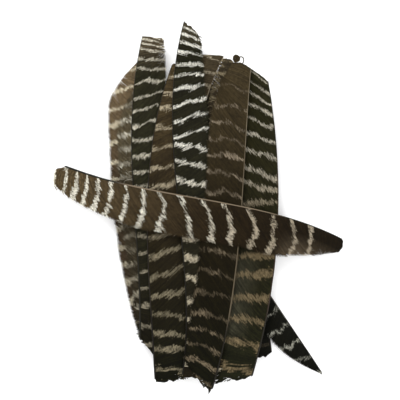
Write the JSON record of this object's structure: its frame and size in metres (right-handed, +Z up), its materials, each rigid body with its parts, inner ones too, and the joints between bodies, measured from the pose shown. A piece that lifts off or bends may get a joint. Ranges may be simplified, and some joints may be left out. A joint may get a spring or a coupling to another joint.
{
  "type": "barred feather quill bundle",
  "caption": "Loose heap of barred wing-feather halves, each a ground quill strip with its vane along one side, one lying across the rest.",
  "frame": {"origin": "centre of the heap's bounding box, on the surface it lies on", "axes": "+Y along the heap towards most of the tips, +X across the heap, +Z up from the surface"},
  "size_m": [0.2425, 0.3096, 0.027],
  "materials": {
    "horn": "satin natural horn of the ground quill",
    "vane_tan": "light brown barbs with cream bars, soft sheen",
    "vane_brown": "brown barbs with tan bars, soft sheen",
    "vane_dark": "dark brown barbs with tan bars, soft sheen",
    "vane_black": "near-black barbs with white bars, soft sheen"
  },
  "bodies": {
    "under_middle": {"under_middle_quill": "horn", "under_middle_vane": "vane_dark"},
    "under_left": {"under_left_quill": "horn", "under_left_vane": "vane_brown"},
    "under_right": {"under_right_quill": "horn", "under_right_vane": "vane_dark"},
    "short_dark": {"short_dark_quill": "horn", "short_dark_vane": "vane_black"},
    "splayed": {"splayed_quill": "horn", "splayed_vane": "vane_black"},
    "far_left": {"far_left_quill": "horn", "far_left_vane": "vane_tan"},
    "far_right": {"far_right_quill": "horn", "far_right_vane": "vane_dark"},
    "mottled": {"mottled_quill": "horn", "mottled_vane": "vane_brown"},
    "square_end": {"square_end_quill": "horn", "square_end_vane": "vane_brown"},
    "left_dark": {"left_dark_quill": "horn", "left_dark_vane": "vane_black"},
    "frayed": {"frayed_quill": "horn", "frayed_vane": "vane_dark"},
    "left_brown": {"left_brown_quill": "horn", "left_brown_vane": "vane_brown"},
    "right_dark": {"right_dark_quill": "horn", "right_dark_vane": "vane_dark"},
    "black_white": {"black_white_quill": "horn", "black_white_vane": "vane_black"},
    "big_brown": {"big_brown_quill": "horn", "big_brown_vane": "vane_brown"},
    "crossing": {"crossing_quill": "horn", "crossing_vane": "vane_brown"}
  },
  "joints": [
    {"name": "lift_under_left", "type": "slide", "parent": "under_middle", "child": "under_left", "axis": [0, 0, 1], "range_m": [0, 0.03]},
    {"name": "lift_under_right", "type": "slide", "parent": "under_left", "child": "under_right", "axis": [0, 0, 1], "range_m": [0, 0.03]},
    {"name": "lift_short_dark", "type": "slide", "parent": "under_right", "child": "short_dark", "axis": [0, 0, 1], "range_m": [0, 0.03]},
    {"name": "lift_splayed", "type": "slide", "parent": "short_dark", "child": "splayed", "axis": [0, 0, 1], "range_m": [0, 0.03]},
    {"name": "lift_far_left", "type": "slide", "parent": "splayed", "child": "far_left", "axis": [0, 0, 1], "range_m": [0, 0.03]},
    {"name": "lift_far_right", "type": "slide", "parent": "far_left", "child": "far_right", "axis": [0, 0, 1], "range_m": [0, 0.03]},
    {"name": "lift_mottled", "type": "slide", "parent": "far_right", "child": "mottled", "axis": [0, 0, 1], "range_m": [0, 0.03]},
    {"name": "lift_square_end", "type": "slide", "parent": "mottled", "child": "square_end", "axis": [0, 0, 1], "range_m": [0, 0.03]},
    {"name": "lift_left_dark", "type": "slide", "parent": "square_end", "child": "left_dark", "axis": [0, 0, 1], "range_m": [0, 0.03]},
    {"name": "lift_frayed", "type": "slide", "parent": "left_dark", "child": "frayed", "axis": [0, 0, 1], "range_m": [0, 0.03]},
    {"name": "lift_left_brown", "type": "slide", "parent": "frayed", "child": "left_brown", "axis": [0, 0, 1], "range_m": [0, 0.03]},
    {"name": "lift_right_dark", "type": "slide", "parent": "left_brown", "child": "right_dark", "axis": [0, 0, 1], "range_m": [0, 0.03]},
    {"name": "lift_black_white", "type": "slide", "parent": "right_dark", "child": "black_white", "axis": [0, 0, 1], "range_m": [0, 0.03]},
    {"name": "lift_big_brown", "type": "slide", "parent": "black_white", "child": "big_brown", "axis": [0, 0, 1], "range_m": [0, 0.03]},
    {"name": "lift_crossing", "type": "slide", "parent": "big_brown", "child": "crossing", "axis": [0, 0, 1], "range_m": [0, 0.03]}
  ]
}
